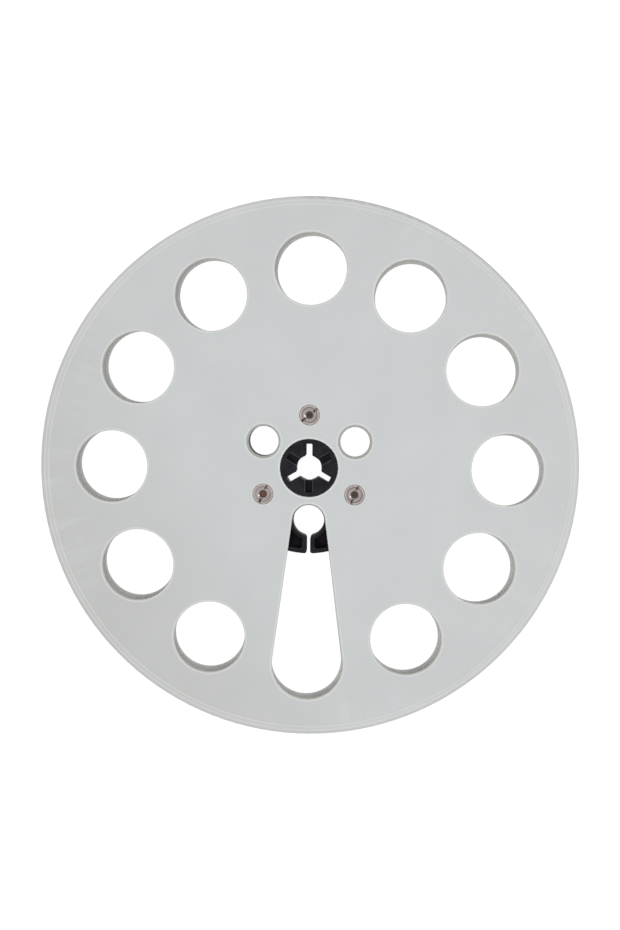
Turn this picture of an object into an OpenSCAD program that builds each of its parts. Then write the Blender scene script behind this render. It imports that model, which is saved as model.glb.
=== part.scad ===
// Tape reel lying on its rear flange, axis along +Z, threading slot towards -Y.
// Two equal flanges clamp a drum-shaped hub between them. Three slotted sleeve
// nuts go in from the front and three slotted screws from the rear.

/* [Reel] */
// Outside diameter of both flanges
reel_d = 178; // [170:1:184]
// Clear width between the flanges, a little more than the tape
tape_gap = 7.1; // [6.6:0.1:9]

/* [Flange] */
// Thickness of a flange inside its raised rim
flange_t = 2; // [1.8:0.1:3]
// Height of the raised rim above the outer face
rim_rise = 0.2; // [0.1:0.05:0.5]
// Width of the raised rim, measured in from the edge
rim_w = 2.65; // [2:0.05:5]
// Width of the slope from the raised rim down to the outer face
rim_slope_w = 0.55; // [0.3:0.05:1.5]
// Radius of the rim's outer edge
rim_round = 1.2; // [0.6:0.1:1.4]
// Radius of the edges of the windows, the slot and the rim's tape side
edge_round = 0.6; // [0.2:0.05:0.8]

/* [Windows and slot] */
// Diameter of a window, and of the slot's wide end
window_d = 23.65; // [16:0.05:26]
// Diameter of the circle that the windows' centres lie on
window_ring_d = 130.8; // [122:0.2:136]
// Places on that circle, one of them taken by the slot
window_places = 12; // [8:1:12]
// Diameter of the slot's narrow end
slot_tip_d = 10.8; // [9:0.1:13]
// Narrowest diameter of a finger hole in a flange
finger_d = 9.9; // [8:0.1:10.2]
// Diameter of a finger hole's mouth on the outer face
finger_mouth_d = 11.2; // [10.4:0.1:12]

/* [Hub] */
// Diameter of the drum that the tape winds on
drum_d = 57; // [50:0.5:62]
// Thickness of the drum's wall
drum_wall = 1.5; // [1.2:0.1:2.5]
// Thickness of the web halfway up the drum
web_t = 1.4; // [1:0.1:2.5]
// Diameter of the hub's face, seen through a flange
hub_face_d = 19; // [18:0.1:20]
// Bevel around the hub's face
hub_bevel = 0.45; // [0.2:0.05:0.8]
// Diameter of the shoulder that a flange seats on
shoulder_d = 24; // [22:0.5:25]
// Diameter of the spindle bore
spindle_d = 8.3; // [7.9:0.1:9]
// Width of a driving notch
notch_w = 2.1; // [1.8:0.1:2.4]
// Reach of a driving notch from the axis
notch_reach = 8; // [7:0.1:8.4]
// Radius of a driving notch's outer corners
notch_round = 0.35; // [0.1:0.05:0.6]
// Bevel where a driving notch meets the bore
notch_flare = 0.35; // [0.1:0.05:0.4]
// Width of a blind pocket in the hub's face
pocket_w = 2; // [1.6:0.1:2.4]
// Depth of a blind pocket
pocket_depth = 3; // [1:0.1:4]
// Diameter of the finger holes through the hub
hub_hole_d = 10.3; // [9:0.1:10.6]
// Wall around a finger hole
hub_hole_wall = 1.2; // [1:0.1:2]
// Thickness of the ribs from shoulder to drum
rib_t = 1.4; // [1:0.1:2.5]
// Diameter of the posts that the fasteners run through
post_d = 8.4; // [7.4:0.1:9]

/* [Tape slit] */
// Width of the slit that the tape's end is tucked into
slit_w = 1.15; // [0.8:0.05:1.8]
// Wall on each side of the slit
slit_wall = 1.5; // [1:0.1:2.5]
// Radius of the slit's lips at the finger hole
lip_round = 1.3; // [0.6:0.1:1.6]
// Radius of the slit's lips at the drum's outside
drum_lip_round = 0.8; // [0.4:0.1:1.2]

/* [Fasteners] */
// Diameter of the circle that the fasteners and finger holes lie on
fastener_ring_d = 35; // [34:0.1:36]
// Diameter of a fastener's head
head_d = 6.6; // [6.2:0.1:7]
// Thickness of a fastener's head
head_t = 0.9; // [0.7:0.05:1.1]
// Bevel around a fastener's head
head_bevel = 0.2; // [0.1:0.05:0.3]
// Outside diameter of a nut's sleeve
sleeve_d = 4.6; // [4:0.1:5]
// Length of a nut's sleeve below its head
sleeve_len = 6; // [4:0.1:6.5]
// Diameter of the screw's thread, at its crests
thread_d = 3; // [2.5:0.1:3]
// Diameter of the nut's thread, at its crests
nut_bore_d = 2.5; // [2.2:0.1:2.5]
// Depth of a screw's end below the nut's face
screw_end_sunk = 1; // [0.5:0.1:2]
// Diameter of the ring turned in a nut's face
nut_ring_d = 4.9; // [4.4:0.1:5.4]
// Depth of that ring
nut_ring_depth = 0.12; // [0.05:0.01:0.2]
// Width of the screwdriver slots
driver_w = 0.75; // [0.6:0.05:1]
// Depth of the screwdriver slots
driver_depth = 0.45; // [0.3:0.05:0.6]

/* [Fits] */
// Gap around the hub's face where it passes through a flange
hub_gap = 0.1; // [0.05:0.01:0.2]
// Gap around a sleeve, and around the screw's end inside it
turn_gap = 0.05; // [0.02:0.01:0.1]
// Least gap around a head in its counterbore
head_gap = 0.1; // [0.05:0.01:0.2]
// Depth that a head lies below the outer face
head_sunk = 0.1; // [0:0.05:0.3]
// Gap between a nut's sleeve and the screw's full-width neck
neck_gap = 0.5; // [0.2:0.1:1]
// How far the rear flange was clamped turned against the front one, in degrees
rear_turn = -0.5; // [-0.6:0.1:0.6]

/* [Hidden] */
$fn = 96;

reel_r = reel_d / 2;
rim_t = flange_t + rim_rise;
reel_t = 2 * rim_t + tape_gap;
window_r = window_d / 2;
window_at = window_ring_d / 2;
window_step = 360 / window_places;
fastener_at = fastener_ring_d / 2;
drum_r = drum_d / 2;
hub_face_r = hub_face_d / 2;
spindle_r = spindle_d / 2;
hub_hole_r = hub_hole_d / 2;
seat_depth = head_t + head_sunk;
sleeve_hole_d = sleeve_d + 2 * turn_gap;
nut_bevel = (thread_d - nut_bore_d) / 2 + head_bevel / 2;

// How far the rear flange's turn moves its counterbores off the screws, which room
// around the screws' heads makes up for.
turn_shift = fastener_at * sin(abs(rear_turn));

// Heights under the nuts' heads and over the screws' heads, and what lies between.
nut_seat = rim_t + tape_gap + flange_t - seat_depth;
screw_seat = rim_t - flange_t + seat_depth;
screw_len = nut_seat + head_t - screw_end_sunk - screw_seat;
neck_len = nut_seat - sleeve_len - neck_gap - screw_seat;

// Directions, turned from +X: fasteners and driving notches share one set, and
// finger holes, blind pockets and the slot the other.
fastener_turns = [90, 210, 330];
hole_turns = [30, 150, 270];
slot_turn = 270;

// How far each nut's screwdriver slot stands turned from +X.
nut_slot_turns = [39, 67, 69];
screw_slot_turns = [12, 105, 48];

// The ribs stand midway between the posts and the finger holes.
rib_turns = [0, 60, 120, 180, 240, 300];

// Slack that carries a cut past the face it opens.
over = 0.5;
// Depth that walls and web run into the spindle's body, to be one piece with it.
bond = 0.5;

// The slot's narrow end, the lean of its straight sides, and the steps that its
// arcs and its rounded edges are drawn in.
tip_r = slot_tip_d / 2;
slot_lean = asin((window_r - tip_r) / (window_at - fastener_at));
arc_steps = 24;
round_steps = 4;

flange_colour = [0.8, 0.81, 0.81];
hub_colour = [0.15, 0.15, 0.165];
nickel_colour = [0.73, 0.69, 0.675];

// Everything in the children, once for each turn in the list, at a radius.
module spread(turns, radius) {
  for (turn = turns) rotate(turn) translate([radius, 0, 0]) children();
}

// Half of a hole's section with both of its edges rounded, for a plate of thickness t.
module rounded_hole_section(r, t) {
  difference() {
    translate([0, -over]) square([r + edge_round, t + 2 * over]);
    for (z = [edge_round, t - edge_round]) translate([r + edge_round, z]) circle(edge_round);
    translate([r, edge_round]) square([2 * edge_round, t - 2 * edge_round]);
  }
}

module window_cut() {
  rotate_extrude() rounded_hole_section(window_r, flange_t);
}

// Points of the slot's teardrop outline, grown outwards: an arc round the wide end
// and one round the narrow end. Drawn along +X from the axis.
function slot_outline(grow) = concat(
  [for (i = [0 : arc_steps]) let (a = -90 - slot_lean + i * (180 + 2 * slot_lean) / arc_steps)
    [window_at + (window_r + grow) * cos(a), (window_r + grow) * sin(a)]],
  [for (i = [0 : arc_steps]) let (a = 90 + slot_lean + i * (180 - 2 * slot_lean) / arc_steps)
    [fastener_at + (tip_r + grow) * cos(a), (tip_r + grow) * sin(a)]]);

// Heights through the flange and how much the outline grows there, to round both edges.
round_turns = [for (i = [0 : round_steps]) i * 90 / round_steps];
slot_levels = concat(
  [[-over, edge_round]],
  [for (t = round_turns) [edge_round * (1 - cos(t)), edge_round * (1 - sin(t))]],
  [for (t = round_turns) [flange_t - edge_round * (1 - sin(t)), edge_round * (1 - cos(t))]],
  [[flange_t + over, edge_round]]);

module slot_cut() {
  n = 2 * (arc_steps + 1);
  last = len(slot_levels) - 1;
  polyhedron(
    points = [for (level = slot_levels) for (p = slot_outline(level[1])) [p[0], p[1], level[0]]],
    faces = concat(
      [[for (i = [0 : n - 1]) i], [for (i = [n - 1 : -1 : 0]) last * n + i]],
      [for (l = [0 : last - 1]) for (i = [0 : n - 1])
        [l * n + i, (l + 1) * n + i, (l + 1) * n + (i + 1) % n, l * n + (i + 1) % n]]));
}

// Finger hole that widens to its mouth on the outer face, where its edge is rounded.
module finger_cut() {
  mouth_r = finger_mouth_d / 2;
  mouth_round = edge_round / 2;
  rotate_extrude() difference() {
    union() {
      translate([0, -over]) square([finger_d / 2, flange_t]);
      polygon([[0, 0], [finger_d / 2, 0], [mouth_r, flange_t - mouth_round],
               [mouth_r + mouth_round, flange_t - mouth_round],
               [mouth_r + mouth_round, flange_t + over], [0, flange_t + over]]);
    }
    translate([mouth_r + mouth_round, flange_t - mouth_round]) circle(mouth_round);
  }
}

// Sleeve's hole and the seat that sinks the head, with the seat's edge eased.
module fastener_cut(extra_gap) {
  seat_d = head_d + 2 * (head_gap + extra_gap);
  translate([0, 0, -over]) cylinder(d = sleeve_hole_d, h = flange_t);
  translate([0, 0, flange_t - seat_depth]) cylinder(d = seat_d, h = seat_depth + over);
  translate([0, 0, flange_t - head_bevel])
    cylinder(d1 = seat_d, d2 = seat_d + 4 * head_bevel, h = 2 * head_bevel);
}

// One flange, tape side down at height 0 and outer face up. Both flanges are alike
// but for the extra gap around the heads of the fasteners.
module flange_shape(extra_gap) {
  difference() {
    rotate_extrude() difference() {
      union() {
        square([reel_r - rim_w - rim_slope_w / 2, flange_t]);
        translate([reel_r - rim_w - rim_slope_w, 0])
          polygon([[0, 0], [rim_w + rim_slope_w, 0], [rim_w + rim_slope_w, rim_t],
                   [rim_slope_w, rim_t], [0, flange_t]]);
      }
      translate([reel_r - rim_round, rim_t - rim_round]) corner_cut(rim_round);
      translate([reel_r - edge_round, edge_round]) mirror([0, 1]) corner_cut(edge_round);
    }
    for (place = [1 : window_places - 1])
      rotate(slot_turn + place * window_step) translate([window_at, 0, 0]) window_cut();
    rotate(slot_turn) slot_cut();
    spread([for (turn = hole_turns) if (turn != slot_turn) turn], fastener_at) finger_cut();
    spread(fastener_turns, fastener_at) fastener_cut(extra_gap);
    translate([0, 0, -over]) cylinder(d = hub_face_d + 2 * hub_gap, h = flange_t + 2 * over);
    translate([0, 0, flange_t - hub_bevel])
      cylinder(d1 = hub_face_d + 2 * hub_gap, d2 = hub_face_d + 2 * hub_gap + 4 * hub_bevel,
               h = 2 * hub_bevel);
  }
}

// What rounding leaves off a square corner, around the round's centre.
module corner_cut(r) {
  difference() {
    square(r + over);
    circle(r);
  }
}

module rear_flange() {
  color(flange_colour) rotate(rear_turn) translate([0, 0, rim_t]) rotate([0, 180, 0])
    flange_shape(turn_shift);
}

module front_flange() {
  color(flange_colour) translate([0, 0, rim_t + tape_gap]) flange_shape(0);
}

// Outline of the slit from a finger hole out through the drum, with rounded lips.
// Drawn along +X from the axis.
module slit_plan() {
  half = slit_w / 2;
  lip_y = half + lip_round;
  lip_x = fastener_at + sqrt(pow(hub_hole_r + lip_round, 2) - pow(lip_y, 2));
  out_y = half + drum_lip_round;
  out_x = sqrt(pow(drum_r - drum_lip_round, 2) - pow(out_y, 2));
  out_scale = (drum_r + over) / (drum_r - drum_lip_round);
  translate([fastener_at, -half]) square([drum_r + over - fastener_at, slit_w]);
  for (side = [0, 1]) mirror([0, side]) {
    difference() {
      polygon([[fastener_at, 0], [lip_x, lip_y], [lip_x, 0]]);
      translate([lip_x, lip_y]) circle(lip_round);
    }
    difference() {
      polygon([[out_x, 0], [out_x, out_y], [out_x * out_scale, out_y * out_scale],
               [out_x * out_scale, 0]]);
      translate([out_x, out_y]) circle(drum_lip_round);
    }
  }
}

// Plan of the hub's holes and slit, and of the place that the spindle's body fills.
module hub_holes() {
  circle(hub_face_r - bond);
  spread(hole_turns, fastener_at) circle(hub_hole_r);
  spread(fastener_turns, fastener_at) circle(d = sleeve_hole_d);
  rotate(slot_turn) slit_plan();
}

// Plan of the walls that stand between the flanges.
module hub_walls() {
  lip_brace = 0.8;
  inner_r = drum_r - drum_wall;
  slit_edge = slit_w / 2 + slit_wall;
  difference() {
    circle(drum_r);
    circle(inner_r);
  }
  circle(d = shoulder_d);
  spread(hole_turns, fastener_at) circle(hub_hole_r + hub_hole_wall);
  spread(fastener_turns, fastener_at) circle(d = post_d);
  for (turn = rib_turns) rotate(turn)
    translate([0, -rib_t / 2]) square([inner_r + drum_wall / 2, rib_t]);
  spread(fastener_turns, fastener_at) translate([0, -rib_t / 2])
    square([inner_r + drum_wall / 2 - fastener_at, rib_t]);
  rotate(slot_turn) {
    translate([fastener_at, -slit_edge])
      square([inner_r + drum_wall / 2 - fastener_at, 2 * slit_edge]);
    for (side = [0, 1]) mirror([0, side]) translate([inner_r, slit_edge])
      polygon([[-lip_brace, -lip_brace], [-lip_brace, 0], [0, lip_brace], [drum_wall / 2, 0]]);
  }
}

// Bevelled face at each end, the notches through it and the blind pockets.
module hub_spindle() {
  difference() {
    rotate_extrude() polygon([[0, 0], [hub_face_r - hub_bevel, 0], [hub_face_r, hub_bevel],
                              [hub_face_r, reel_t - hub_bevel],
                              [hub_face_r - hub_bevel, reel_t], [0, reel_t]]);
    hub_bore();
  }
}

// Plan of a driving notch along +X, rounded at its outer end and bevelled at the bore.
module notch_plan() {
  half = notch_w / 2;
  flare_y = half + notch_flare;
  flare_x = sqrt(pow(spindle_r, 2) - pow(flare_y, 2));
  polygon([[0, -flare_y], [flare_x, -flare_y], [flare_x + notch_flare, -half],
           [notch_reach - notch_round, -half], [notch_reach - notch_round, half],
           [flare_x + notch_flare, half], [flare_x, flare_y], [0, flare_y]]);
  translate([0, notch_round - half]) square([notch_reach, notch_w - 2 * notch_round]);
  for (side = [-1, 1]) translate([notch_reach - notch_round, side * (half - notch_round)])
    circle(notch_round);
}

module hub_bore() {
  translate([0, 0, -over]) cylinder(r = spindle_r, h = reel_t + 2 * over);
  for (turn = fastener_turns) rotate(turn)
    translate([0, 0, -over]) linear_extrude(reel_t + 2 * over) notch_plan();
  for (turn = hole_turns) rotate(turn)
    for (z = [-over, reel_t - pocket_depth])
      translate([0, -pocket_w / 2, z]) cube([notch_reach, pocket_w, pocket_depth + over]);
}

module hub_core() {
  color(hub_colour) {
    translate([0, 0, rim_t]) linear_extrude(tape_gap) difference() {
      hub_walls();
      hub_holes();
    }
    translate([0, 0, reel_t / 2 - web_t / 2]) linear_extrude(web_t) difference() {
      circle(drum_r - drum_wall / 2);
      hub_holes();
    }
    hub_spindle();
  }
}

// Flat bevelled head from height 0 up, with the screwdriver slot in its top.
module fastener_head(slot_angle) {
  difference() {
    rotate_extrude() polygon([[0, 0], [head_d / 2, 0], [head_d / 2, head_t - head_bevel],
                              [head_d / 2 - head_bevel, head_t], [0, head_t]]);
    rotate(slot_angle) translate([-head_d / 2 - over, -driver_w / 2, head_t - driver_depth])
      cube([head_d + 2 * over, driver_w, driver_depth + over]);
  }
}

// Sleeve nut with its head up, at height 0 under the head.
module sleeve_nut(slot_angle) {
  color(nickel_colour) difference() {
    union() {
      fastener_head(slot_angle);
      translate([0, 0, -sleeve_len]) cylinder(d = sleeve_d, h = sleeve_len + head_t / 2);
    }
    translate([0, 0, -sleeve_len - over]) cylinder(d = nut_bore_d, h = sleeve_len + head_t + 2 * over);
    translate([0, 0, head_t - nut_bevel])
      cylinder(d1 = nut_bore_d, d2 = nut_bore_d + 4 * nut_bevel, h = 2 * nut_bevel);
    rotate_extrude() translate([nut_ring_d / 2, head_t - nut_ring_depth])
      polygon([[0, 0], [2 * nut_ring_depth, 2 * nut_ring_depth],
               [-2 * nut_ring_depth, 2 * nut_ring_depth]]);
  }
}

// Screw with its head down: its shank rises from height 0 above the head.
module screw(slot_angle) {
  end_r = nut_bore_d / 2 - turn_gap;
  color(nickel_colour) {
    rotate([0, 180, 0]) fastener_head(slot_angle);
    rotate_extrude() polygon([[0, -head_t / 4], [thread_d / 2, -head_t / 4], [thread_d / 2, neck_len],
                              [end_r, neck_len], [end_r, screw_len - head_bevel],
                              [end_r - head_bevel, screw_len], [0, screw_len]]);
  }
}

// Puts a nut or a screw on its place of the fastener ring.
module at_fastener(place, height) {
  rotate(fastener_turns[place]) translate([fastener_at, 0, height])
    rotate(-fastener_turns[place]) children();
}

module sleeve_nut_top() { at_fastener(0, nut_seat) sleeve_nut(nut_slot_turns[0]); }
module sleeve_nut_left() { at_fastener(1, nut_seat) sleeve_nut(nut_slot_turns[1]); }
module sleeve_nut_right() { at_fastener(2, nut_seat) sleeve_nut(nut_slot_turns[2]); }
module screw_top() { at_fastener(0, screw_seat) screw(screw_slot_turns[0]); }
module screw_left() { at_fastener(1, screw_seat) screw(screw_slot_turns[1]); }
module screw_right() { at_fastener(2, screw_seat) screw(screw_slot_turns[2]); }

rear_flange();
hub_core();
front_flange();
sleeve_nut_top();
sleeve_nut_left();
sleeve_nut_right();
screw_top();
screw_left();
screw_right();
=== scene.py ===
"""Open tape reel: moulded grey flanges on a black hub, held by nickel sleeve nuts and screws."""

import math

import bmesh
import bpy
from mathutils import Matrix, Vector


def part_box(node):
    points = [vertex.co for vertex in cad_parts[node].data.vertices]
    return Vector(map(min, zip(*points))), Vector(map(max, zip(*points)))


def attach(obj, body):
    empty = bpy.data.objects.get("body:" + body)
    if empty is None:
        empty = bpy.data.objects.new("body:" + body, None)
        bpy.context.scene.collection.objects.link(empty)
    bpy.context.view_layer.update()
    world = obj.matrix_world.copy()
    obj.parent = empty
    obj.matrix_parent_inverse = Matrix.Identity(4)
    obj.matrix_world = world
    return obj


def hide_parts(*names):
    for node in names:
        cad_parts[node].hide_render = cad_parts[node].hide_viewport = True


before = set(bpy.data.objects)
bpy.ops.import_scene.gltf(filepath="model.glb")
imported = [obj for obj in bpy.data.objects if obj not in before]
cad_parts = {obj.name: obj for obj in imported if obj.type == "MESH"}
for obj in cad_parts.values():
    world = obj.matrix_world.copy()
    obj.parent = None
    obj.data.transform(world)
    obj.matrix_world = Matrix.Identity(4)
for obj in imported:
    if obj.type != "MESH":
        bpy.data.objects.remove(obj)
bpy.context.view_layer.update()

MM = 0.001

# The reel: its radius and thickness from the frame, and the sizes that its source gives the flanges
# and the hub, which the materials follow.
REEL_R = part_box("front_flange")[1].x
REEL_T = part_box("front_flange")[1].z
RIM_RISE = 0.2 * MM
FRONT_FACE = REEL_T - RIM_RISE
RIM_INNER_R = REEL_R - 2.7 * MM
RIM_OUTER_R = REEL_R - 1.5 * MM
WINDOW_RING_R = 65.4 * MM
WINDOW_R = 11.825 * MM
WINDOW_STEP = 30
REAR_TURN = -0.5
FINGER_MOUTH_R = 5.6 * MM
SLOT_TIP_R = 5.4 * MM
FACE_HOLE_R = 9.6 * MM
POCKET_W = 2.0 * MM
POCKET_REACH = 7.9 * MM
FASTENER_RING_R = 17.5 * MM
PLACES = {"top": 90, "left": 210, "right": 330}
THIRD = 120

# The sleeve nuts and screws: head, sleeve, thread and the screwdriver slots' turns from +X.
HEAD_R = 3.3 * MM
HEAD_T = 0.9 * MM
HEAD_BEVEL = 0.1 * MM
SLEEVE_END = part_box("sleeve_nut_top")[0].z
NUT_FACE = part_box("sleeve_nut_top")[1].z
SLEEVE_R = 2.3 * MM
THREAD_R = 1.5 * MM
THREAD_CORE_R = 1.25 * MM
BORE_MOUTH_R = THREAD_R + 0.3 * MM
PITCH = 0.5 * MM
SHANK_R = 1.2 * MM
NECK_END = 3.8 * MM
SCREW_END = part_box("screw_top")[1].z
THREAD_RUNOUT = 0.25 * MM
NUT_RIDGE = {"Radius": THREAD_R, "Depth": THREAD_R - THREAD_CORE_R, "Half Width": 0.13 * MM}
SCREW_RIDGE = {"Radius": SHANK_R, "Depth": THREAD_R - SHANK_R - 0.03 * MM, "Half Width": 0.2 * MM}
RING_R = 2.45 * MM
RING_DEPTH = 0.12 * MM
DRIVER_W = 0.75 * MM
DRIVER_DEPTH = 0.45 * MM
NUT_SLOT_TURNS = {"top": 39, "left": 67, "right": 69}

# How finely the scene's own pieces are made, in sides and degrees.
LATHE_STEPS = 96
SPIRAL_STEPS = 40
SMOOTH_BELOW = 25
HUB_EDGES_ABOVE = 32
HUB_EDGE_EASE = 0.14 * MM

# Where the photograph was taken from: pixels of its 620 x 930 frame, and the tilt in degrees.
PHOTO_W, PHOTO_H = 620, 930
AXIS_PX = (308.96, 468.07)
LENS_CENTRE_PX = (310.0, 494.5)
PX_PER_MM = 3.0292
VIEW_DISTANCE = 450.0 * MM
VIEW_TILT = {"X": 3.37, "Y": -1.23, "Z": -0.54}
SENSOR = 36.0


class Shading:
    """Short calls that add nodes to a shader tree and link them."""

    def __init__(self, tree):
        self.tree = tree

    def put(self, socket, value):
        if isinstance(value, bpy.types.NodeSocket):
            self.tree.links.new(value, socket)
        else:
            socket.default_value = value

    def node(self, kind, **settings):
        made = self.tree.nodes.new(kind)
        for name, value in settings.items():
            setattr(made, name, value)
        return made

    def math(self, operation, *values, clamp=False):
        made = self.node("ShaderNodeMath", operation=operation, use_clamp=clamp)
        for socket, value in zip(made.inputs, values):
            self.put(socket, value)
        return made.outputs[0]

    def length(self, x, y):
        squares = self.math("ADD", self.math("MULTIPLY", x, x), self.math("MULTIPLY", y, y))
        return self.math("SQRT", squares)

    def off(self, value, middle):
        """How far a value is from a middle one, on either side."""
        return self.math("ABSOLUTE", self.math("SUBTRACT", value, middle))

    def split(self, vector):
        parts = self.node("ShaderNodeSeparateXYZ")
        self.put(parts.inputs[0], vector)
        return parts.outputs

    def joined(self, *values):
        made = self.node("ShaderNodeCombineXYZ")
        for socket, value in zip(made.inputs, values):
            self.put(socket, value)
        return made.outputs[0]

    def noise(self, vector, scale, detail=2.0, roughness=0.5):
        made = self.node("ShaderNodeTexNoise")
        self.put(made.inputs["Vector"], vector)
        self.put(made.inputs["Scale"], scale)
        self.put(made.inputs["Detail"], detail)
        self.put(made.inputs["Roughness"], roughness)
        return made.outputs[0]

    def ramp(self, value, low, high):
        """0 below low, 1 above high, with soft ends; low may be the larger of the two."""
        made = self.node("ShaderNodeMapRange", interpolation_type="SMOOTHSTEP")
        self.put(made.inputs["Value"], value)
        self.put(made.inputs["From Min"], min(low, high))
        self.put(made.inputs["From Max"], max(low, high))
        self.put(made.inputs["To Min"], 0.0 if low < high else 1.0)
        self.put(made.inputs["To Max"], 1.0 if low < high else 0.0)
        return made.outputs[0]

    def mix(self, factor, low, high):
        made = self.node("ShaderNodeMix", data_type="RGBA")
        self.put(made.inputs[0], factor)
        self.put(made.inputs[6], low)
        self.put(made.inputs[7], high)
        return made.outputs[2]

    def shaded(self, colour, factor):
        """A colour made darker or lighter by a factor."""
        made = self.node("ShaderNodeVectorMath", operation="SCALE")
        self.put(made.inputs[0], colour)
        self.put(made.inputs["Scale"], factor)
        return made.outputs[0]

    def tinted(self, colour, tint):
        """A colour times a tint, part by part."""
        made = self.node("ShaderNodeVectorMath", operation="MULTIPLY")
        self.put(made.inputs[0], colour)
        self.put(made.inputs[1], tint)
        return made.outputs[0]

    def group(self, tree, **values):
        made = self.node("ShaderNodeGroup", node_tree=tree)
        for name, value in values.items():
            self.put(made.inputs[name.replace("_", " ")], value)
        return made.outputs


def photo_camera():
    """The camera that sees the reel as the photograph does, nearly square on."""
    data = bpy.data.cameras.new("photo_camera")
    data.sensor_width = SENSOR
    focal_px = PX_PER_MM / MM * VIEW_DISTANCE
    data.lens = focal_px * SENSOR / PHOTO_H
    data.shift_x = (PHOTO_W / 2 - LENS_CENTRE_PX[0]) / PHOTO_H
    data.shift_y = (LENS_CENTRE_PX[1] - PHOTO_H / 2) / PHOTO_H
    data.clip_start, data.clip_end = 0.01, 20.0
    turn = Matrix.Identity(3)
    for axis, degrees in VIEW_TILT.items():
        turn = turn @ Matrix.Rotation(math.radians(degrees), 3, axis)
    offset = Vector((
        (LENS_CENTRE_PX[0] - AXIS_PX[0]) / PX_PER_MM * MM,
        (AXIS_PX[1] - LENS_CENTRE_PX[1]) / PX_PER_MM * MM,
        VIEW_DISTANCE,
    ))
    place = turn.transposed() @ offset + Vector((0, 0, FRONT_FACE))
    camera = bpy.data.objects.new("photo_camera", data)
    camera.matrix_world = Matrix.Translation(place) @ turn.transposed().to_4x4()
    bpy.context.scene.collection.objects.link(camera)
    bpy.context.scene.camera = camera


def soft_light(name, place, size, watts):
    """A square soft box that faces the reel, itself out of the picture."""
    data = bpy.data.lights.new(name, "AREA")
    data.shape, data.size, data.energy = "SQUARE", size, watts
    light = bpy.data.objects.new(name, data)
    light.visible_camera = False
    place = Vector(place)
    light.matrix_world = Matrix.Translation(place) @ place.to_track_quat("Z", "Y").to_matrix().to_4x4()
    bpy.context.scene.collection.objects.link(light)
    return light


def studio():
    """Even light from all round, a soft one high at the lower left and a small one from the right."""
    world = bpy.data.worlds.new("studio")
    bpy.context.scene.world = world
    world.use_nodes = True
    background = world.node_tree.nodes["Background"]
    background.inputs["Color"].default_value = (1, 1, 1, 1)
    background.inputs["Strength"].default_value = 0.74
    high = soft_light("high", (-0.4, -0.34, 1.6), 0.5, 5.9)
    high.visible_glossy = False
    soft_light("glint", (0.45, 0.14, 0.5), 0.2, 0.56)
    bpy.context.scene.view_settings.view_transform = "Standard"


def floor_sheet():
    """A pale round floor that stays near white, and lets the camera see the reel from below."""
    radius, z, corners = 8.0, -0.2 * MM, 96
    angles = [2 * math.pi * i / corners for i in range(corners)]
    mesh = bpy.data.meshes.new("floor")
    edge = [(radius * math.cos(a), radius * math.sin(a), z) for a in angles]
    mesh.from_pydata(edge, [], [tuple(range(corners))])
    floor = bpy.data.objects.new("floor", mesh)
    bpy.context.scene.collection.objects.link(floor)
    material = bpy.data.materials.new("pale_floor")
    material.use_nodes = True
    material.node_tree.nodes.clear()
    calls = Shading(material.node_tree)
    pale = calls.node("ShaderNodeBsdfDiffuse")
    calls.put(pale.inputs["Color"], (0.12, 0.12, 0.12, 1))
    glow = calls.node("ShaderNodeEmission")
    calls.put(glow.inputs["Color"], (0.97, 0.97, 0.97, 1))
    both = calls.node("ShaderNodeAddShader")
    calls.put(both.inputs[0], pale.outputs[0])
    calls.put(both.inputs[1], glow.outputs[0])
    by_camera = calls.node("ShaderNodeLightPath").outputs["Is Camera Ray"]
    from_below = calls.node("ShaderNodeNewGeometry").outputs["Backfacing"]
    seen = calls.math("SUBTRACT", by_camera, from_below, clamp=True)
    mix = calls.node("ShaderNodeMixShader")
    calls.put(mix.inputs[0], seen)
    calls.put(mix.inputs[1], calls.node("ShaderNodeBsdfTransparent").outputs[0])
    calls.put(mix.inputs[2], both.outputs[0])
    calls.put(calls.node("ShaderNodeOutputMaterial").inputs["Surface"], mix.outputs[0])
    mesh.materials.append(material)


def new_group(name, inputs, outputs):
    """An empty shader group with its sockets; the calls to fill it, its inputs and its outputs."""
    tree = bpy.data.node_groups.new(name, "ShaderNodeTree")
    for label, kind in inputs.items():
        tree.interface.new_socket(label, in_out="INPUT", socket_type=kind)
    for label in outputs:
        tree.interface.new_socket(label, in_out="OUTPUT", socket_type="NodeSocketFloat")
    calls = Shading(tree)
    return calls, calls.node("NodeGroupInput").outputs, calls.node("NodeGroupOutput").inputs


def fine_grain_group():
    """Moulded plastic's surface: a fine grain to bump, and a tone that wanders a little."""
    calls, given, result = new_group(
        "FineGrain", {"Vector": "NodeSocketVector", "Grain": "NodeSocketFloat", "Amount": "NodeSocketFloat"},
        ["Shade", "Height"])
    scale = calls.math("DIVIDE", 1.0, given["Grain"])
    fine = calls.noise(given["Vector"], scale, 3.0, 0.6)
    broad = calls.noise(given["Vector"], calls.math("MULTIPLY", scale, 0.03), 2.0)
    both = calls.math("SUBTRACT", calls.math("ADD", fine, broad), 1.0)
    calls.put(result["Shade"], calls.math("MULTIPLY_ADD", both, given["Amount"], 1.0))
    calls.put(result["Height"], fine)
    return calls.tree


def hole_distance(calls, radius, angle, first, step, ring, hole):
    """Distance outside the nearest of the holes that stand a step apart on a ring."""
    half = math.radians(step / 2)
    turned = calls.math("ADD", angle, half - math.radians(first))
    folded = calls.math("SUBTRACT", calls.math("FLOORED_MODULO", turned, 2 * half), half)
    along = calls.math("SUBTRACT", calls.math("MULTIPLY", radius, calls.math("COSINE", folded)), ring)
    across = calls.math("MULTIPLY", radius, calls.math("SINE", folded))
    return calls.math("SUBTRACT", calls.length(along, across), hole)


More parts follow.
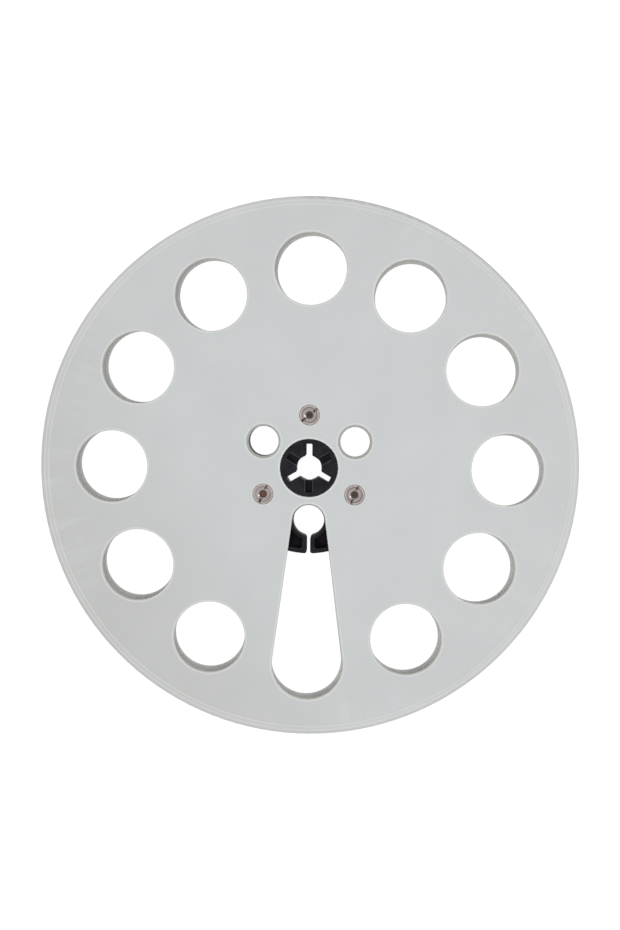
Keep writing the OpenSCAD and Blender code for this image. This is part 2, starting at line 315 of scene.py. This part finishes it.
def slot_distance(calls, x, y):
    """Distance outside the threading slot's straight sides; far off beyond its two round ends."""
    between = WINDOW_RING_R - FASTENER_RING_R
    lean = math.asin((WINDOW_R - SLOT_TIP_R) / between)
    out = calls.math("MULTIPLY_ADD", y, -1.0, -FASTENER_RING_R)
    side = calls.math("ABSOLUTE", x)
    along = calls.math("MULTIPLY_ADD", side, math.sin(lean), calls.math("MULTIPLY", out, math.cos(lean)))
    across = calls.math("MULTIPLY_ADD", out, -math.sin(lean), calls.math("MULTIPLY", side, math.cos(lean)))
    past_wide_end = calls.math("SUBTRACT", along, between * math.cos(lean))
    past_an_end = calls.math("MAXIMUM", calls.math("MULTIPLY", along, -1.0), past_wide_end)
    beyond = calls.math("MULTIPLY", calls.math("MAXIMUM", past_an_end, 0.0), 50.0)
    return calls.math("ADD", calls.math("SUBTRACT", across, SLOT_TIP_R), beyond)


def flange_marks_group():
    """Where a flange gets a painted highlight on its lips and rim edges, grows darker towards the rim, gets
    painted shade on its lower left side and painted bounce light where hidden between the flanges, and its
    marks by the rim.
    """
    calls, given, result = new_group(
        "FlangeMarks", {"Vector": "NodeSocketVector"},
        ["Lip", "Hub Lip", "Flow Sheen", "Speck", "Toward Rim", "Lower Left Shade", "Inside"])
    x, y, z = calls.split(given["Vector"])
    skin = FRONT_FACE - REEL_T / 2
    # Faces hidden between the flanges get a lighter, warmer tone: painted bounce light.
    calls.put(result["Inside"], calls.ramp(calls.off(z, REEL_T / 2), skin - 0.3 * MM, skin - 1.0 * MM))
    radius = calls.length(x, y)
    angle = calls.math("ARCTAN2", y, x)
    windows = hole_distance(calls, radius, angle, 0, WINDOW_STEP, WINDOW_RING_R, WINDOW_R)
    fingers = hole_distance(calls, radius, angle, 30, THIRD, FASTENER_RING_R, FINGER_MOUTH_R)
    seats = hole_distance(calls, radius, angle, 90, THIRD, FASTENER_RING_R, HEAD_R - 0.2 * MM)
    slot = slot_distance(calls, x, y)
    nearest = windows
    for distance in (fingers, seats, slot):
        nearest = calls.math("MINIMUM", nearest, distance)
    # Paler lips round the holes, seats and slot: painted highlight where their rounded edges catch the
    # light.
    outer = calls.ramp(nearest, 0.85 * MM, 0.45 * MM)
    edge_highlight = calls.math("MULTIPLY", outer, calls.ramp(nearest, -0.05 * MM, 0.2 * MM))
    # Paler lines along the raised rim's two edges: painted highlight on its steps.
    for edge_r in (RIM_INNER_R, RIM_OUTER_R):
        rim_edge_highlight = calls.math("MULTIPLY", calls.ramp(calls.off(radius, edge_r), 0.4 * MM, 0.1 * MM), 0.6)
        edge_highlight = calls.math("MAXIMUM", edge_highlight, rim_edge_highlight)
    calls.put(result["Lip"], edge_highlight)
    # Near-white ring round the hub's hole: painted highlight.
    calls.put(result["Hub Lip"], calls.ramp(radius, FACE_HOLE_R + 0.6 * MM, FACE_HOLE_R + 0.4 * MM))
    # Darker and a little warmer towards the rim.
    calls.put(result["Toward Rim"], calls.ramp(radius, 0.4 * REEL_R, 0.95 * REEL_R))
    # Darker towards the lower left side: painted shade, where less light falls.
    lean = calls.math("MULTIPLY_ADD", x, 0.85, calls.math("MULTIPLY", y, 0.53))
    calls.put(result["Lower Left Shade"], calls.ramp(lean, -0.25 * REEL_R, -REEL_R))
    # Lighter radial streaks near the rim: moulding flow marks, whose lighter tone is a painted sheen.
    streak_at = calls.joined(calls.math("MULTIPLY", angle, 30.0), calls.math("MULTIPLY", radius, 40.0))
    streaks = calls.noise(streak_at, 1.0, 3.0, 0.65)
    patches = calls.noise(given["Vector"], 28.0, 1.0)
    near_rim = calls.ramp(radius, 0.76 * REEL_R, 0.93 * REEL_R)
    patchy = calls.math("MULTIPLY", near_rim, calls.ramp(patches, 0.5, 0.62))
    calls.put(result["Flow Sheen"], calls.math("MULTIPLY", patchy, calls.ramp(streaks, 0.42, 0.7)))
    cells = calls.node("ShaderNodeTexVoronoi")
    calls.put(cells.inputs["Vector"], given["Vector"])
    calls.put(cells.inputs["Scale"], 120.0)
    spot = calls.ramp(cells.outputs["Distance"], 0.035, 0.015)
    chosen = calls.ramp(calls.split(cells.outputs["Color"])[0], 0.8, 0.9)
    calls.put(result["Speck"], calls.math("MULTIPLY", spot, chosen))
    return calls.tree


def pocket_border(calls, x, y):
    """A thin line that runs along both sides of each blind pocket, where a painted highlight marks the
    pocket's eased edges.
    """
    radius = calls.length(x, y)
    turned = calls.math("ADD", calls.math("ARCTAN2", y, x), math.radians(30))
    third = math.radians(THIRD)
    folded = calls.math("SUBTRACT", calls.math("FLOORED_MODULO", turned, third), third / 2)
    across = calls.math("ABSOLUTE", calls.math("MULTIPLY", radius, calls.math("SINE", folded)))
    off_line = calls.off(across, POCKET_W / 2 + 0.35 * MM)
    inside_ends = calls.ramp(radius, POCKET_REACH + 0.3 * MM, POCKET_REACH)
    return calls.math("MULTIPLY", calls.ramp(off_line, 0.14 * MM, 0.04 * MM), inside_ends)


def turned_rings_group():
    """Fine rings that a lathe leaves round the Z axis, uneven from one to the next."""
    calls, given, result = new_group(
        "TurnedRings", {"Vector": "NodeSocketVector", "Pitch": "NodeSocketFloat"},
        ["Height", "Shade", "Radius"])
    x, y, _ = calls.split(given["Vector"])
    radius = calls.length(x, y)
    turns = calls.math("DIVIDE", radius, given["Pitch"])
    uneven = calls.noise(calls.joined(turns), 1.3, 2.0)
    wave = calls.math("SINE", calls.math("MULTIPLY", turns, 2 * math.pi))
    calls.put(result["Height"], calls.math("MULTIPLY", wave, uneven))
    calls.put(result["Shade"], calls.ramp(uneven, 0.3, 0.7))
    calls.put(result["Radius"], radius)
    return calls.tree


def dirt_and_shade_group():
    """Brown grime below a face, in slots, grooves and bores, more in some spots than others; darker the
    deeper it lies, which also paints shade into those hollows.
    """
    calls, given, result = new_group(
        "DirtAndShade", {"Vector": "NodeSocketVector", "Face": "NodeSocketFloat", "Depth": "NodeSocketFloat"},
        ["Mask"])
    drop = calls.math("SUBTRACT", given["Face"], calls.split(given["Vector"])[2])
    below = calls.math("DIVIDE", drop, given["Depth"], clamp=True)
    spots = calls.ramp(calls.noise(given["Vector"], 1500.0, 3.0, 0.6), 0.36, 0.5)
    calls.put(result["Mask"], calls.math("MULTIPLY", below, spots))
    return calls.tree


def new_material(name):
    """A material, its calls, its Principled shader and the Object coordinates."""
    material = bpy.data.materials.new(name)
    material.use_nodes = True
    calls = Shading(material.node_tree)
    shader = material.node_tree.nodes["Principled BSDF"]
    coordinates = calls.node("ShaderNodeTexCoord").outputs["Object"]
    return material, calls, shader.inputs, coordinates


def placed(calls, coordinates, place=(0, 0, 0), turn=0.0):
    """Coordinates measured from a place of the reel, and turned back by an angle."""
    mapping = calls.node("ShaderNodeMapping", vector_type="TEXTURE")
    calls.put(mapping.inputs["Vector"], coordinates)
    calls.put(mapping.inputs["Location"], place)
    calls.put(mapping.inputs["Rotation"], (0, 0, math.radians(turn)))
    return mapping.outputs[0]


def bump(calls, shader, height, strength, distance):
    made = calls.node("ShaderNodeBump")
    calls.put(made.inputs["Strength"], strength)
    calls.put(made.inputs["Distance"], distance)
    calls.put(made.inputs["Height"], height)
    calls.put(shader["Normal"], made.outputs[0])


FINE_GRAIN = fine_grain_group()
FLANGE_MARKS = flange_marks_group()
TURNED_RINGS = turned_rings_group()
DIRT_AND_SHADE = dirt_and_shade_group()


def flange_plastic(name, turn):
    """Light grey moulded plastic: fine grain, lips made paler as a painted highlight, a side darkened as
    painted shade, faint blotches and flow streaks with a painted sheen, a few specks.
    """
    material, calls, shader, coordinates = new_material(name)
    vector = placed(calls, coordinates, turn=turn)
    grain = calls.group(FINE_GRAIN, Vector=vector, Grain=0.45 * MM, Amount=0.09)
    marks = calls.group(FLANGE_MARKS, Vector=vector)
    # Darker and a little warmer towards the rim.
    face_tone = calls.mix(marks["Toward Rim"], (0.579, 0.597, 0.603, 1), (0.569, 0.581, 0.585, 1))
    # Painted shade: darker on the lower left side.
    face_tone = calls.mix(marks["Lower Left Shade"], face_tone, (0.528, 0.536, 0.528, 1))
    # Painted highlight on the hole lips and the rim's edges.
    base = calls.mix(marks["Lip"], face_tone, (0.66, 0.665, 0.64, 1))
    # Painted highlight: near-white ring round the hub's hole.
    base = calls.mix(marks["Hub Lip"], base, (0.93, 0.94, 0.93, 1))
    # Painted bounce light on the faces hidden between the flanges.
    base = calls.mix(marks["Inside"], base, (0.6, 0.605, 0.58, 1))
    # Flow streaks near the rim: their lighter tone is a painted sheen.
    base = calls.mix(calls.math("MULTIPLY", marks["Flow Sheen"], 0.3), base, (0.64, 0.655, 0.65, 1))
    base = calls.mix(calls.math("MULTIPLY", marks["Speck"], 0.6), base, (0.25, 0.23, 0.2, 1))
    blotches = calls.ramp(calls.noise(vector, 400.0, 3.0, 0.6), 0.38, 0.62)
    tint = calls.mix(blotches, (0.991, 0.998, 1.004, 1), (1.004, 1.001, 0.993, 1))
    calls.put(shader["Base Color"], calls.tinted(calls.shaded(base, grain["Shade"]), tint))
    rough = calls.math("MULTIPLY_ADD", marks["Flow Sheen"], -0.12, 0.5)
    calls.put(shader["Roughness"], calls.math("MULTIPLY_ADD", marks["Lip"], -0.08, rough))
    bump(calls, shader, grain["Height"], 0.25, 0.02 * MM)
    return material


def hub_plastic():
    """Black moulded plastic, mottled and a little glossy, with painted highlight lines beside its pockets.
    """
    material, calls, shader, coordinates = new_material("hub_plastic")
    grain = calls.group(FINE_GRAIN, Vector=coordinates, Grain=0.35 * MM, Amount=0.5)
    scuffs = calls.ramp(calls.noise(coordinates, 700.0, 4.0, 0.65), 0.45, 0.75)
    clouds = calls.ramp(calls.noise(coordinates, 330.0, 2.0), 0.35, 0.65)
    mottled = calls.math("MULTIPLY_ADD", clouds, 0.45, calls.math("MULTIPLY", scuffs, 0.3), clamp=True)
    base = calls.mix(mottled, (0.0025, 0.002, 0.0042, 1), (0.02, 0.017, 0.025, 1))
    x, y, z = calls.split(coordinates)
    from_middle = calls.off(z, REEL_T / 2)
    # Lighter lines beside the pockets' sides: painted highlight.
    pocket_highlight = calls.math("MULTIPLY", pocket_border(calls, x, y), calls.ramp(from_middle, 5.5 * MM, 5.7 * MM))
    base = calls.mix(calls.math("MULTIPLY", pocket_highlight, 0.7), base, (0.07, 0.065, 0.08, 1))
    calls.put(shader["Base Color"], calls.shaded(base, grain["Shade"]))
    calls.put(shader["Roughness"], calls.math("MULTIPLY_ADD", scuffs, 0.2, 0.4))
    open_face = calls.ramp(from_middle, 1.5 * MM, 3.2 * MM)
    calls.put(shader["Specular IOR Level"], calls.math("MULTIPLY_ADD", open_face, 0.17, 0.07))
    bump(calls, shader, grain["Height"], 0.4, 0.02 * MM)
    return material


def fastener_at(place):
    angle = math.radians(PLACES[place])
    return Vector((FASTENER_RING_R * math.cos(angle), FASTENER_RING_R * math.sin(angle), 0))


def nickel(place, ring_shade):
    """Nickel plating, turned in rings, gone slightly pink, with brown grime and painted shade in its slots,
    groove and bore, and a painted reflection towards the head's rim.
    """
    material, calls, shader, coordinates = new_material(f"nickel_{place}")
    vector = placed(calls, coordinates, fastener_at(place))
    rings = calls.group(TURNED_RINGS, Vector=vector, Pitch=0.16 * MM)
    # Brown patches below the nut's face, darker the deeper: partly real grime, partly painted shade in the
    # slots, ring groove and bore.
    dirt_and_shade = calls.group(DIRT_AND_SHADE, Vector=vector, Face=NUT_FACE - 0.06 * MM, Depth=0.3 * MM)["Mask"]
    outside_bore = calls.ramp(rings["Radius"], THREAD_R, 1.15 * THREAD_R)
    dirt_and_shade = calls.math("MULTIPLY", dirt_and_shade, calls.math("MULTIPLY_ADD", outside_bore, 0.8, 0.2))
    tarnish = calls.noise(vector, 500.0, 3.0)
    clean = calls.mix(calls.ramp(tarnish, 0.35, 0.7), (0.585, 0.522, 0.507, 1), (0.502, 0.434, 0.418, 1))
    # Darker ring along the head's turned groove: painted shade, as strong as ring_shade.
    groove = calls.ramp(calls.off(rings["Radius"], RING_R), 0.3 * MM, 0.1 * MM)
    clean = calls.shaded(clean, calls.math("MULTIPLY_ADD", rings["Shade"], 0.22, 0.84))
    clean = calls.shaded(clean, calls.math("MULTIPLY_ADD", groove, -ring_shade, 1.0))
    # Lighter towards the head's rim: painted reflection.
    edge = calls.ramp(rings["Radius"], 0.8 * HEAD_R, 0.95 * HEAD_R)
    clean = calls.shaded(clean, calls.math("MULTIPLY_ADD", edge, 0.3, 1.0))
    # Brown grime with painted shade in the hollows.
    calls.put(shader["Base Color"], calls.mix(dirt_and_shade, clean, (0.06, 0.04, 0.03, 1)))
    calls.put(shader["Metallic"], calls.math("MULTIPLY_ADD", dirt_and_shade, -0.75, 1.0))
    mouth = calls.ramp(rings["Radius"], BORE_MOUTH_R + 0.1 * MM, BORE_MOUTH_R)
    polish = calls.math("MULTIPLY_ADD", mouth, -0.17, 0.3)
    calls.put(shader["Roughness"], calls.math("MULTIPLY_ADD", dirt_and_shade, 0.3, polish))
    bump(calls, shader, rings["Height"], 0.3, 0.02 * MM)
    return material


def screw_steel(place, rust):
    """Bare steel with turned rings and a share of brown rust; its end face, deep in the nut's bore, is
    painted dark as shade.
    """
    material, calls, shader, coordinates = new_material(f"screw_steel_{place}")
    vector = placed(calls, coordinates, fastener_at(place))
    rings = calls.group(TURNED_RINGS, Vector=vector, Pitch=0.2 * MM)
    spots = calls.ramp(calls.noise(vector, 900.0, 4.0, 0.6), 0.65 - rust, 0.85 - rust)
    # The end face, deep in the nut's bore, made dark: painted shade.
    end_shade = calls.ramp(rings["Radius"], 0.92 * SHANK_R, 0.7 * SHANK_R)
    steel = calls.mix(end_shade, (0.6, 0.54, 0.52, 1), (0.1, 0.075, 0.073, 1))
    steel = calls.shaded(steel, calls.math("MULTIPLY_ADD", rings["Shade"], 0.25, 0.8))
    calls.put(shader["Base Color"], calls.mix(spots, steel, (0.17, 0.075, 0.06, 1)))
    calls.put(shader["Metallic"], calls.math("MULTIPLY_ADD", spots, -0.7, 1.0))
    calls.put(shader["Roughness"], calls.math("MULTIPLY_ADD", spots, 0.3, 0.33))
    bump(calls, shader, rings["Height"], 0.25, 0.02 * MM)
    return material


def finish_node(node, material):
    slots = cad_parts[node].data.materials
    slots.clear()
    slots.append(material)


def finish_piece(name, work, material, body, node):
    """A piece from a bmesh: smooth but for its sharp edges, on a body, in a slot."""
    bmesh.ops.recalc_face_normals(work, faces=work.faces)
    for edge in work.edges:
        edge.smooth = edge.is_manifold and edge.calc_face_angle(0) < math.radians(SMOOTH_BELOW)
    for face in work.faces:
        face.smooth = True
    mesh = bpy.data.meshes.new(name)
    work.to_mesh(mesh)
    work.free()
    mesh.materials.append(material)
    piece = bpy.data.objects.new(name, mesh)
    bpy.context.scene.collection.objects.link(piece)
    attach(piece, body)
    if node:
        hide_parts(node)


def bevelled_hub(material):
    """The hub with its moulded edges eased."""
    work = bmesh.new()
    work.from_mesh(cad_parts["hub_core"].data)
    bmesh.ops.remove_doubles(work, verts=work.verts, dist=0.002 * MM)
    flat = math.radians(0.2)
    bmesh.ops.dissolve_limit(work, angle_limit=flat, verts=work.verts, edges=work.edges)
    sharp = math.radians(HUB_EDGES_ABOVE)
    edges = [e for e in work.edges if e.is_convex and e.calc_face_angle(0) > sharp]
    bmesh.ops.bevel(work, geom=edges, offset=HUB_EDGE_EASE, segments=2, profile=0.5, affect="EDGES",
                    clamp_overlap=True)
    bmesh.ops.triangulate(work, faces=[f for f in work.faces if len(f.verts) > 4])
    finish_piece("hub_moulding", work, material, "reel", "hub_core")


def lathe(profile, centre):
    """A closed ring of faces from points (radius, height) turned round an upright axis."""
    work = bmesh.new()
    rows = []
    for i in range(LATHE_STEPS):
        angle = 2 * math.pi * i / LATHE_STEPS
        rows.append([work.verts.new((centre.x + r * math.cos(angle), centre.y + r * math.sin(angle), z))
                     for r, z in profile])
    for i, row in enumerate(rows):
        after = rows[(i + 1) % LATHE_STEPS]
        for j in range(len(profile)):
            k = (j + 1) % len(profile)
            work.faces.new((row[j], after[j], after[k], row[k]))
    bmesh.ops.recalc_face_normals(work, faces=work.faces)
    return work


def driver_slot(centre, turn):
    """The space of a screwdriver slot, right across the head, for cutting."""
    work = bmesh.new()
    bmesh.ops.create_cube(work, size=1.0)
    height = 1.0 * MM
    place = Matrix.Translation((centre.x, centre.y, NUT_FACE - DRIVER_DEPTH + height / 2))
    size = Matrix.Diagonal((2 * (HEAD_R + MM), DRIVER_W, height, 1))
    turned = Matrix.Rotation(math.radians(turn), 4, "Z")
    bmesh.ops.transform(work, matrix=place @ turned @ size, verts=work.verts)
    return work


def loose_object(name, work):
    mesh = bpy.data.meshes.new(name)
    work.to_mesh(mesh)
    work.free()
    made = bpy.data.objects.new(name, mesh)
    bpy.context.scene.collection.objects.link(made)
    return made


def evaluated(made):
    """What an object's modifiers make of its mesh, as a bmesh; the object is removed."""
    result = bpy.data.meshes.new_from_object(made.evaluated_get(bpy.context.evaluated_depsgraph_get()))
    work = bmesh.new()
    work.from_mesh(result)
    bpy.data.objects.remove(made)
    return work


def cut(body, tool):
    """One bmesh with the space of another taken out of it."""
    solid, cutter = loose_object("cut_body", body), loose_object("cut_tool", tool)
    boolean = solid.modifiers.new("cut", "BOOLEAN")
    boolean.operation, boolean.object, boolean.solver = "DIFFERENCE", cutter, "EXACT"
    bpy.context.view_layer.update()
    work = evaluated(solid)
    bpy.data.objects.remove(cutter)
    return work


def sleeve_nut(place, material):
    """A turned nut: bevelled head with a ring, sleeve, threaded bore's wall and driver slot."""
    centre, face = fastener_at(place), NUT_FACE
    ease = 0.05 * MM
    profile = [
        (THREAD_R, SLEEVE_END), (THREAD_R, face - 0.11 * MM), (BORE_MOUTH_R, face),
        (RING_R - 1.4 * RING_DEPTH, face), (RING_R, face - RING_DEPTH), (RING_R + 1.4 * RING_DEPTH, face),
        (HEAD_R - HEAD_BEVEL - ease, face), (HEAD_R - HEAD_BEVEL, face - 0.3 * ease),
        (HEAD_R - 0.3 * ease, face - HEAD_BEVEL), (HEAD_R, face - HEAD_BEVEL - ease),
        (HEAD_R, face - HEAD_T + ease), (HEAD_R - ease, face - HEAD_T), (SLEEVE_R, face - HEAD_T),
        (SLEEVE_R, SLEEVE_END + 2 * ease), (SLEEVE_R - 2 * ease, SLEEVE_END)]
    work = cut(lathe(profile, centre), driver_slot(centre, NUT_SLOT_TURNS[place]))
    bmesh.ops.remove_doubles(work, verts=work.verts, dist=0.001 * MM)
    name, node = f"turned_nut_{place}", f"sleeve_nut_{place}"
    finish_piece(name, work, material, f"{place}_nut", node)


def thread_tree():
    """Geometry nodes that run a ridge along a helix, thinning out at both ends."""
    tree = bpy.data.node_groups.new("ThreadRidge", "GeometryNodeTree")
    tree.interface.new_socket("Geometry", in_out="INPUT", socket_type="NodeSocketGeometry")
    for label in ("Radius", "Pitch", "Length", "Depth", "Half Width"):
        tree.interface.new_socket(label, in_out="INPUT", socket_type="NodeSocketFloat")
    tree.interface.new_socket("Material", in_out="INPUT", socket_type="NodeSocketMaterial")
    tree.interface.new_socket("Geometry", in_out="OUTPUT", socket_type="NodeSocketGeometry")
    calls = Shading(tree)
    given, result = calls.node("NodeGroupInput").outputs, calls.node("NodeGroupOutput").inputs
    turns = calls.math("DIVIDE", given["Length"], given["Pitch"])
    spiral = calls.node("GeometryNodeCurveSpiral")
    calls.put(spiral.inputs["Resolution"], SPIRAL_STEPS)
    calls.put(spiral.inputs["Rotations"], turns)
    calls.put(spiral.inputs["Start Radius"], given["Radius"])
    calls.put(spiral.inputs["End Radius"], given["Radius"])
    calls.put(spiral.inputs["Height"], given["Length"])
    calls.put(spiral.inputs["Reverse"], False)
    upward = calls.node("GeometryNodeSetCurveNormal", mode="Z_UP")
    calls.put(upward.inputs["Curve"], spiral.outputs[0])
    along = calls.node("GeometryNodeSplineParameter").outputs["Factor"]
    ends = calls.math("MINIMUM", along, calls.math("SUBTRACT", 1.0, along))
    taper = calls.math("MULTIPLY", calls.math("MULTIPLY", ends, turns), 2.0, clamp=True)
    ridge = calls.node("GeometryNodeCurvePrimitiveCircle")
    calls.put(ridge.inputs["Resolution"], 4)
    calls.put(ridge.inputs["Radius"], 1.0)
    sized = calls.node("GeometryNodeTransform")
    calls.put(sized.inputs["Geometry"], ridge.outputs[0])
    calls.put(sized.inputs["Scale"], calls.joined(given["Depth"], given["Half Width"], 1.0))
    swept = calls.node("GeometryNodeCurveToMesh")
    calls.put(swept.inputs["Curve"], upward.outputs[0])
    calls.put(swept.inputs["Profile Curve"], sized.outputs[0])
    calls.put(swept.inputs["Scale"], calls.math("MAXIMUM", taper, 0.05))
    calls.put(swept.inputs["Fill Caps"], True)
    real = calls.node("GeometryNodeRealizeInstances")
    calls.put(real.inputs[0], swept.outputs[0])
    painted = calls.node("GeometryNodeSetMaterial")
    calls.put(painted.inputs["Geometry"], real.outputs[0])
    calls.put(painted.inputs["Material"], given["Material"])
    calls.put(result["Geometry"], painted.outputs[0])
    return tree


def thread(tree, place, part, material, start, end, sizes):
    """A helical ridge on a nut or a screw, from the tree, between two heights."""
    name = f"{part}_thread_{place}"
    values = {"Pitch": PITCH, "Length": end - start - 2 * THREAD_RUNOUT, "Material": material, **sizes}
    made = loose_object(name, bmesh.new())
    modifier = made.modifiers.new("thread", "NODES")
    modifier.node_group = tree
    for item in tree.interface.items_tree:
        if item.in_out == "INPUT" and item.name in values:
            modifier[item.identifier] = values[item.name]
    bpy.context.view_layer.update()
    work = evaluated(made)
    move = Matrix.Translation(fastener_at(place) + Vector((0, 0, start + THREAD_RUNOUT)))
    bmesh.ops.transform(work, matrix=move, verts=work.verts)
    bmesh.ops.remove_doubles(work, verts=work.verts, dist=0.0005 * MM)
    finish_piece(name, work, material, f"{place}_{part}", None)


photo_camera()
studio()
floor_sheet()

finish_node("front_flange", flange_plastic("flange_plastic", 0.0))
finish_node("rear_flange", flange_plastic("flange_plastic_rear", REAR_TURN))
hub = hub_plastic()
finish_node("hub_core", hub)
bevelled_hub(hub)
ridge_tree = thread_tree()
for place, rust, ring_shade in (("top", 0.05, 0.3), ("left", 0.35, 0.1), ("right", 0.15, 0.32)):
    plating, steel = nickel(place, ring_shade), screw_steel(place, rust)
    finish_node(f"sleeve_nut_{place}", plating)
    finish_node(f"screw_{place}", steel)
    sleeve_nut(place, plating)
    thread(ridge_tree, place, "nut", plating, SLEEVE_END, NUT_FACE, NUT_RIDGE)
    thread(ridge_tree, place, "screw", steel, NECK_END, SCREW_END, SCREW_RIDGE)
